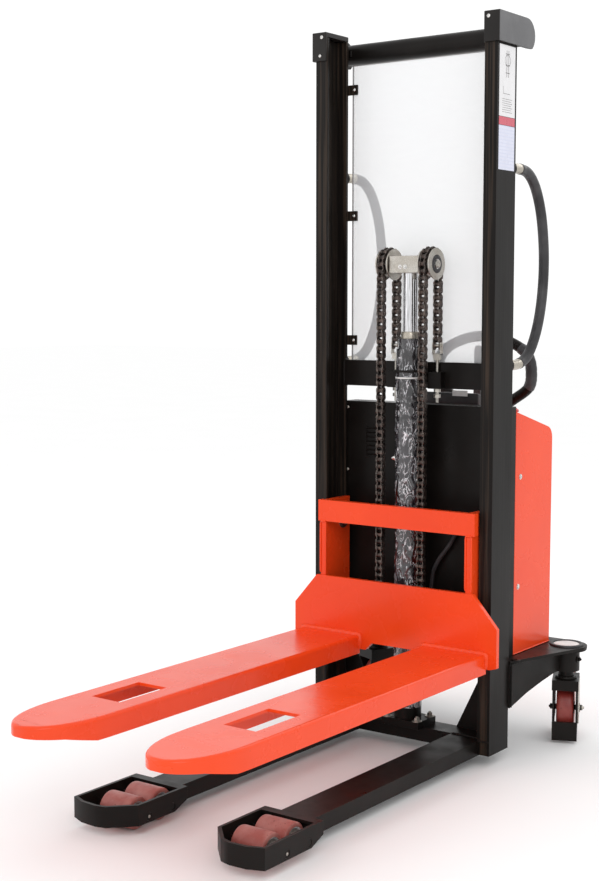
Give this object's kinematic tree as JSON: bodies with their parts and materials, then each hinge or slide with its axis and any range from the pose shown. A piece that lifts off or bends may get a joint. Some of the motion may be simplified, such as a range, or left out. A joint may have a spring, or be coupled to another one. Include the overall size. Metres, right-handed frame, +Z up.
{
  "type": "walkie stacker",
  "caption": "Semi-electric walkie stacker: single-stage mast, chain lift, orange forks that nest over straddle legs, rear casters.",
  "frame": {"origin": "centre of the bounding box at rest, on the floor", "axes": "+Z up, forks point to -Y, +X is the left hand of the operator, who stands behind at +Y"},
  "size_m": [0.756, 1.7239, 1.98],
  "materials": {
    "black_paint": "satin black paint",
    "orange_paint": "gloss orange-red paint",
    "zinc_steel": "zinc-plated or bare steel",
    "chrome": "hard chrome",
    "chain_steel": "oiled black steel",
    "clear_sheet": "clear polycarbonate",
    "black_rubber": "black rubber",
    "red_polyurethane": "red polyurethane",
    "dark_plastic": "black plastic",
    "red_plastic": "red plastic",
    "cast_aluminium": "cast aluminium"
  },
  "bodies": {
    "root": {"upright_left": "black_paint", "upright_right": "black_paint", "mast_cap_left": "black_paint", "mast_cap_right": "black_paint", "top_tube": "black_paint", "crossbeam": "black_paint", "cylinder_barrel": "black_paint", "cylinder_gland": "black_paint", "base_beam": "black_paint", "leg_left": "black_paint", "leg_right": "black_paint", "rear_frame": "black_paint", "back_panel": "black_paint", "pump_motor": "black_paint", "tiller_bracket": "black_paint", "rear_cover": "orange_paint", "chain_anchor_left": "zinc_steel", "chain_anchor_right": "zinc_steel", "load_axle_front_left": "zinc_steel", "load_axle_front_right": "zinc_steel", "load_axle_rear_left": "zinc_steel", "load_axle_rear_right": "zinc_steel", "oil_tank": "zinc_steel", "chain_rear_left": "chain_steel", "chain_rear_right": "chain_steel", "guard_screen": "clear_sheet", "grab_handle_left": "black_rubber", "grab_handle_right": "black_rubber", "hydraulic_hose": "black_rubber", "control_console": "dark_plastic", "battery": "dark_plastic", "pump_block": "cast_aluminium"},
    "ram": {"piston_rod": "chrome", "pulley_yoke": "zinc_steel", "chain_front_left": "chain_steel", "chain_front_right": "chain_steel"},
    "carriage": {"carriage": "orange_paint", "fork_left": "orange_paint", "fork_right": "orange_paint"},
    "tiller": {"tiller_loop": "black_rubber", "tiller_stem": "black_paint"},
    "lowering_lever": {"lowering_lever": "dark_plastic"},
    "stop_button": {"stop_button": "red_plastic"},
    "key_switch": {"key_switch": "zinc_steel"},
    "chain_pulley_left": {"chain_pulley_left": "zinc_steel"},
    "guide_roller_lower_left": {"guide_roller_lower_left": "zinc_steel"},
    "guide_roller_upper_left": {"guide_roller_upper_left": "zinc_steel"},
    "load_roller_front_left": {"load_roller_front_left": "red_polyurethane"},
    "load_roller_rear_left": {"load_roller_rear_left": "red_polyurethane"},
    "caster_left": {"caster_fork_left": "black_paint"},
    "caster_wheel_left": {"caster_wheel_left": "red_polyurethane"},
    "brake_pedal_left": {"brake_pedal_left": "black_rubber"},
    "chain_pulley_right": {"chain_pulley_right": "zinc_steel"},
    "guide_roller_lower_right": {"guide_roller_lower_right": "zinc_steel"},
    "guide_roller_upper_right": {"guide_roller_upper_right": "zinc_steel"},
    "load_roller_front_right": {"load_roller_front_right": "red_polyurethane"},
    "load_roller_rear_right": {"load_roller_rear_right": "red_polyurethane"},
    "caster_right": {"caster_fork_right": "black_paint"},
    "caster_wheel_right": {"caster_wheel_right": "red_polyurethane"},
    "brake_pedal_right": {"brake_pedal_right": "black_rubber"}
  },
  "joints": [
    {"name": "lift_ram", "type": "slide", "parent": "root", "child": "ram", "axis": [0, 0, 1], "range_m": [-0.116, 0.6415], "deforming": ["chain_rear_left", "chain_rear_right"]},
    {"name": "carriage_lift", "type": "slide", "parent": "ram", "child": "carriage", "axis": [0, 0, 1], "range_m": [-0.116, 0.6415], "deforming": ["chain_front_left", "chain_front_right"]},
    {"name": "chain_pulley_spin_left", "type": "hinge", "parent": "ram", "child": "chain_pulley_left", "pos_m": [0.0665, 0.4075, 1.3415], "axis": [1, 0, 0], "range_deg": [-965, 180]},
    {"name": "guide_roller_spin_lower_left", "type": "hinge", "parent": "carriage", "child": "guide_roller_lower_left", "pos_m": [0.2625, 0.418, 0.4], "axis": [1, 0, 0], "range_deg": [-1800, 330]},
    {"name": "guide_roller_spin_upper_left", "type": "hinge", "parent": "carriage", "child": "guide_roller_upper_left", "pos_m": [0.2625, 0.418, 0.62], "axis": [1, 0, 0], "range_deg": [-330, 1800]},
    {"name": "load_roller_spin_front_left", "type": "hinge", "parent": "root", "child": "load_roller_front_left", "pos_m": [0.2, -0.531, 0.039], "axis": [1, 0, 0], "continuous": true},
    {"name": "load_roller_spin_rear_left", "type": "hinge", "parent": "root", "child": "load_roller_rear_left", "pos_m": [0.2, -0.449, 0.039], "axis": [1, 0, 0], "continuous": true},
    {"name": "caster_swivel_left", "type": "hinge", "parent": "root", "child": "caster_left", "pos_m": [0.32, 0.746, 0.2], "axis": [0, 0, 1], "continuous": true},
    {"name": "caster_wheel_spin_left", "type": "hinge", "parent": "caster_left", "child": "caster_wheel_left", "pos_m": [0.30373, 0.78254, 0.08], "axis": [0.9135, 0.4067, 0], "continuous": true},
    {"name": "brake_pedal_tilt_left", "type": "hinge", "parent": "caster_left", "child": "brake_pedal_left", "pos_m": [0.29316, 0.80629, 0.167], "axis": [-0.9135, -0.4067, 0], "range_deg": [0, 12]},
    {"name": "chain_pulley_spin_right", "type": "hinge", "parent": "ram", "child": "chain_pulley_right", "pos_m": [-0.0665, 0.4075, 1.3415], "axis": [1, 0, 0], "range_deg": [-965, 180]},
    {"name": "guide_roller_spin_lower_right", "type": "hinge", "parent": "carriage", "child": "guide_roller_lower_right", "pos_m": [-0.2625, 0.418, 0.4], "axis": [1, 0, 0], "range_deg": [-1800, 330]},
    {"name": "guide_roller_spin_upper_right", "type": "hinge", "parent": "carriage", "child": "guide_roller_upper_right", "pos_m": [-0.2625, 0.418, 0.62], "axis": [1, 0, 0], "range_deg": [-330, 1800]},
    {"name": "load_roller_spin_front_right", "type": "hinge", "parent": "root", "child": "load_roller_front_right", "pos_m": [-0.2, -0.531, 0.039], "axis": [1, 0, 0], "continuous": true},
    {"name": "load_roller_spin_rear_right", "type": "hinge", "parent": "root", "child": "load_roller_rear_right", "pos_m": [-0.2, -0.449, 0.039], "axis": [1, 0, 0], "continuous": true},
    {"name": "caster_swivel_right", "type": "hinge", "parent": "root", "child": "caster_right", "pos_m": [-0.32, 0.746, 0.2], "axis": [0, 0, 1], "continuous": true},
    {"name": "caster_wheel_spin_right", "type": "hinge", "parent": "caster_right", "child": "caster_wheel_right", "pos_m": [-0.30373, 0.78254, 0.08], "axis": [0.9135, -0.4067, 0], "continuous": true},
    {"name": "brake_pedal_tilt_right", "type": "hinge", "parent": "caster_right", "child": "brake_pedal_right", "pos_m": [-0.29316, 0.80629, 0.167], "axis": [-0.9135, 0.4067, 0], "range_deg": [0, 12]},
    {"name": "tiller_tilt", "type": "hinge", "parent": "root", "child": "tiller", "pos_m": [0, 0.784, 0.32], "axis": [-1, 0, 0], "range_deg": [0, 75], "stiffness_Nm_per_rad": 25, "springref_deg": -5.73},
    {"name": "lowering_lever_pull", "type": "hinge", "parent": "tiller", "child": "lowering_lever", "pos_m": [-0.02, 0.822, 0.948], "axis": [1, 0, 0], "range_deg": [-10, 10], "stiffness_Nm_per_rad": 1},
    {"name": "stop_button_press", "type": "slide", "parent": "root", "child": "stop_button", "axis": [0, 0, -1], "range_m": [0, 0.005], "stiffness_N_per_m": 800, "springref_m": -0.001},
    {"name": "key_turn", "type": "hinge", "parent": "root", "child": "key_switch", "pos_m": [-0.08, 0.609, 0.9788], "axis": [0, 0, 1], "range_deg": [-90, 0]}
  ],
  "couplings": [
    {"joint": "carriage_lift", "follows": "lift_ram", "ratio": 1},
    {"joint": "chain_pulley_spin_left", "follows": "lift_ram", "rad_per_m": -25.974},
    {"joint": "guide_roller_spin_lower_left", "follows": "lift_ram", "rad_per_m": -48.781},
    {"joint": "guide_roller_spin_upper_left", "follows": "lift_ram", "rad_per_m": 48.781},
    {"joint": "chain_pulley_spin_right", "follows": "lift_ram", "rad_per_m": -25.974},
    {"joint": "guide_roller_spin_lower_right", "follows": "lift_ram", "rad_per_m": -48.781},
    {"joint": "guide_roller_spin_upper_right", "follows": "lift_ram", "rad_per_m": 48.781}
  ]
}
